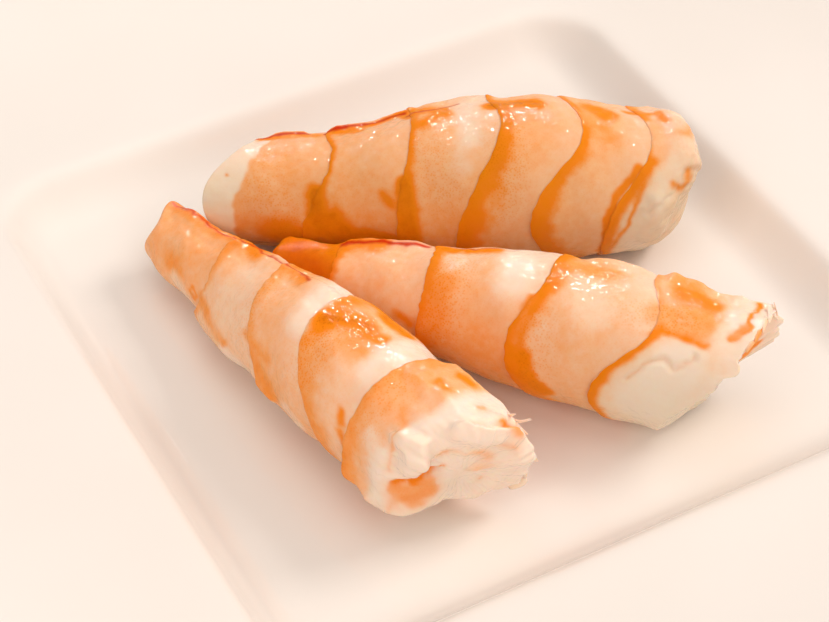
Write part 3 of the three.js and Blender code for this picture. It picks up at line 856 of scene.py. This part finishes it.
back = {
    "tail": (-19.4, 30.9), "head": (35.9, 1.1), "bow": -1.85, "roll": 46, "radius": 11.8,
    "tail_ratio": 0.64, "thick_at": 0.68, "swell": 2.3, "head_drop": 0.14, "lift": 1.3,
    "seams": [
        (5.0, -2.0, 0.6, 1.0, 0),
        (14.5, 13.5, 12.0, 3, 0),
        (26.0, 25.2, 25.0, 1.5, 0),
        (36.8, 36.0, 33.5, 5, 0.1),
        (47.0, 46.5, 46.0, 9, 0.3),
        (57.0, 57.5, 53.0, 5, 0.2),
        (61.5, 62.5, 58.0, 2, 0),
    ],
    "slant": 0, "settle": 1.2, "tail_cap": 0.9, "head_cap": 5.0, "uneven": 0.35, "phase": 4.2,
    "tear": 0.3, "flare": 0.05, "torn": 0.08,
    "painted_shade": (0, 0.6, 0.55),
    "bands": [
        ((3, 3, 3), (0.5, 0.5, 0.6), (0.5, 0.5, 0.6), (0.1, 0.05, 0)),
        ((0.8, 0.9, 3), (0.95, 0.9, 1.1), (0.44, 0.5, 0.7), (0.2, 0.1, 0)),
        ((1.0, 1.4, 3), (0.95, 0.9, 1.05), (0.4, 0.48, 0.6), (0.4, 0.1, 0)),
        ((0.8, 3.1, 4.2), (1.0, 1.0, 1.0), (0.52, 0.5, 0.5), (0.4, 0.3, 0.1)),
        ((0.6, 2.3, 4.2), (0.95, 0.95, 1.0), (0.52, 0.44, 0.48), (0.4, 0.3, 0.1)),
        ((1.4, 1.8, 1.5), (0.85, 0.95, 0.95), (0.4, 0.28, 0.25), (0.2, 0.4, 0.5)),
    ],
    "marks": [
        ("pigment", 0.1, 5.0, 0.7, [(4.5, 15), (2.9, 40), (1.5, 60), (-0.4, 90), (-1.2, 110), (-0.8, 150)]),
        ("milk", 0.3, 5.0, 0.9, [(4.5, 15), (2.9, 40), (1.5, 60), (-0.4, 90), (-1.2, 110), (-0.8, 150)]),
        ("pigment", 0.75, 0.4, 0.6, [(0.8, 78)]),
        ("pigment", 0.55, 1.6, 2.4, [(4.4, 88), (7.0, 96)]),
        ("freckle", 0.7, 5, 4, [(6, 90), (9, 125)]),
        ("crest", 1.0, 0.6, 0.6, [(4.6, 12), (8, 9), (12, 9)]),
        ("crest", 1.0, 0.8, 0.6, [(14.4, 12), (17.5, 12)]),
        ("crest", 1.0, 0.5, 0.6, [(17.5, 12), (22, 13), (25.5, 14)]),
        ("crest", 0.8, 0.5, 0.6, [(26.0, 20), (29.0, 21), (33.0, 16)]),
        ("pigment", 0.85, 1.6, 1.6, [(5.5, 14), (13, 14)]),
        ("pigment", 0.95, 1.6, 1.8, [(15.5, 16), (19, 22)]),
        ("pigment", 0.9, 1.0, 1.2, [(18, 15), (24, 14)]),
        ("pigment", 1.15, 2.6, 1.8, [(13.2, 94), (13.4, 112), (14.4, 140)]),
        ("pigment", 1.1, 3.0, 2.0, [(15.5, 118), (17.5, 136), (24, 148)]),
        # Deep orange on the belly near the thin end: partly its own pigment, partly painted shade and
        # painted orange bounce light where the middle tail lies against it.
        ("pigment", 1.0, 5.0, 3.0, [(8, 140), (24, 158)]),
        ("pigment", 1.0, 1.6, 1.2, [(24.8, 9), (26.4, 22)]),
        ("pigment", 0.95, 2.4, 2.2, [(27.5, 18), (30.5, 24)]),
        ("pigment", 0.95, 2.0, 2.5, [(28.2, 42), (31, 32)]),
        ("pigment", 0.95, 1.2, 1.6, [(22.6, 98), (23.6, 106)]),
        ("pigment", 1.1, 2.4, 1.6, [(25.6, 92), (26.0, 118), (26.5, 145)]),
        ("milk", 0.4, 3.0, 2.5, [(34, 20), (34.5, 60), (33.5, 80)]),
        ("pigment", 0.28, 3.0, 2.5, [(34, 20), (34.5, 60)]),
        ("freckle", 0.6, 6, 4, [(29, 60), (31, 95)]),
        ("pigment", 1.1, 2.4, 2.0, [(37.8, 28), (43.2, 31)]),
        ("pigment", 1.08, 1.4, 1.6, [(43.0, 32), (44.2, 36)]),
        ("pigment", 1.05, 2.4, 2.4, [(51.3, 27), (53.8, 36)]),
        ("freckle", 0.8, 5, 4, [(39.5, 60), (39.5, 110)]),
        ("pigment", 0.62, 3.0, 3.0, [(51, 44), (54, 60)]),
        ("pigment", 0.9, 1.0, 1.4, [(56.5, 22), (59.5, 25)]),
        ("pigment", 0.85, 1.2, 0.8, [(57.6, 84), (56, 98), (54.2, 108), (53.4, 125), (53, 165)]),
        ("pigment", 0.75, 0.8, 0.8, [(58.6, 96), (57, 120), (54.6, 150)]),
        ("pigment", 1.0, 1.2, 1.6, [(60.9, 25), (62.1, 38)]),
        ("pigment", 0.5, 3, 2, [(60, 45), (61, 70)]),
        ("milk", 0.6, 3.0, 2.0, [(60, 112), (58, 150)]),
        ("pigment", 0.75, 0.9, 1.3, [(64.6, 88), (64.9, 96), (64.0, 102), (62.4, 98)]),
        ("push", 0.7, 1.6, 2.6, [(16, 8), (26, 8)]),
        ("push", 0.5, 1.0, 2.0, [(7, 4), (11, 4)]),
        ("push", 0.7, 2.0, 3.0, [(29, 4), (37, 2)]),
        ("push", 0.5, 1.6, 2.6, [(56, 2), (60, 2)]),
        ("push", 0.9, 3.0, 3.0, [(61, 112), (60, 140)]),
        ("push", -0.6, 0.4, 1.6, [(59.4, 120), (63.0, 104), (65.5, 78)]),
    ],
    "face": [
        ("milk", 0.3, 20, 1, [(0, 0)]),
        ("pigment", 0.3, 20, 1, [(0, 0)]),
        ("pigment", 0.66, 1.4, 2.0, [(8.0, 5.5), (5.0, 6.5)]),
    ],
}
prawn("back_prawn", "prawn_back", back, flesh)


# The table
# A plain pale surface that the plate stands on, in a pale room with four soft lamps round it.
# A small bright card behind the plate lights the wet flesh alone and gives it its glints.

table_half = 2.0
quarters = ((-1, -1), (1, -1), (1, 1), (-1, 1))
floor_mesh = bpy.data.meshes.new("table_top")
floor_mesh.from_pydata([(x * table_half, y * table_half, 0) for x, y in quarters], [], [(0, 1, 2, 3)])
floor = bpy.data.objects.new("table_top", floor_mesh)
bpy.context.scene.collection.objects.link(floor)

# Matt painted board: an even pale surface with no gloss.
board, board_tree = new_material("matt_white_board")
board_shader = add(board_tree, "BsdfPrincipled", {"Base Color": linear("#EDE6DE"), "Roughness": 0.8})
add(board_tree, "OutputMaterial", {"Surface": board_shader.outputs["BSDF"]})
floor_mesh.materials.append(board)


plate_middle = Vector((0, 0, 0.01))
warm_white = "#FFF6F0"


def area_light(name, place, size, power, colour):
    """A square lamp at a place in metres, turned to face the middle of the plate. It lights
    without showing in reflections."""
    light = bpy.data.lights.new(name, "AREA")
    light.size = size
    light.energy = power
    light.color = linear(colour)[:3]
    lamp = bpy.data.objects.new(name, light)
    lamp.location = place
    lamp.rotation_euler = (plate_middle - Vector(place)).to_track_quat("-Z", "Y").to_euler()
    lamp.visible_glossy = False
    bpy.context.scene.collection.objects.link(lamp)
    return lamp


area_light("overhead_panel", (0.05, 0.05, 1.45), 1.2, 4.6, warm_white)
area_light("right_lamp", (1.10, -0.10, 1.05), 0.5, 11.0, warm_white)
area_light("left_panel", (-1.10, -0.35, 1.20), 0.8, 4.2, warm_white)
area_light("front_panel", (-0.30, -1.35, 0.90), 1.1, 8.0, warm_white)

wet_flesh = bpy.data.collections.new("wet_flesh")
for piece_name in ("front_prawn", "middle_prawn", "back_prawn"):
    wet_flesh.objects.link(bpy.data.objects[piece_name])
# The card is the one lamp that the wet film mirrors, and it lights nothing else.
glint_card = area_light("glint_card", (0.365, 0.668, 0.65), 0.21, 18.0, "#FFFAF5")
glint_card.visible_glossy = True
glint_card.visible_diffuse = False
glint_card.light_linking.receiver_collection = wet_flesh

world = bpy.data.worlds.new("pale_room")
world.use_nodes = True
room = world.node_tree.nodes["Background"].inputs
room["Color"].default_value = linear(warm_white)
room["Strength"].default_value = 0.44
bpy.context.scene.world = world
bpy.context.scene.view_settings.view_transform = "Standard"


# The camera
# It looks down on the prawns from the front left, as in the picture, through a long lens.

azimuth, elevation = math.radians(-29), math.radians(44)
distance = 0.322
aim = Vector((-3.4, 4.17, floor_top)) * MM
away = Vector((
    math.sin(azimuth) * math.cos(elevation),
    -math.cos(azimuth) * math.cos(elevation),
    math.sin(elevation),
))
camera_data = bpy.data.cameras.new("camera")
camera_data.lens = 100
camera_data.sensor_width = 36
camera_data.clip_start = 0.01
camera = bpy.data.objects.new("camera", camera_data)
camera.location = aim + away * distance
camera.rotation_euler = (-away).to_track_quat("-Z", "Y").to_euler()
bpy.context.scene.collection.objects.link(camera)
bpy.context.scene.camera = camera
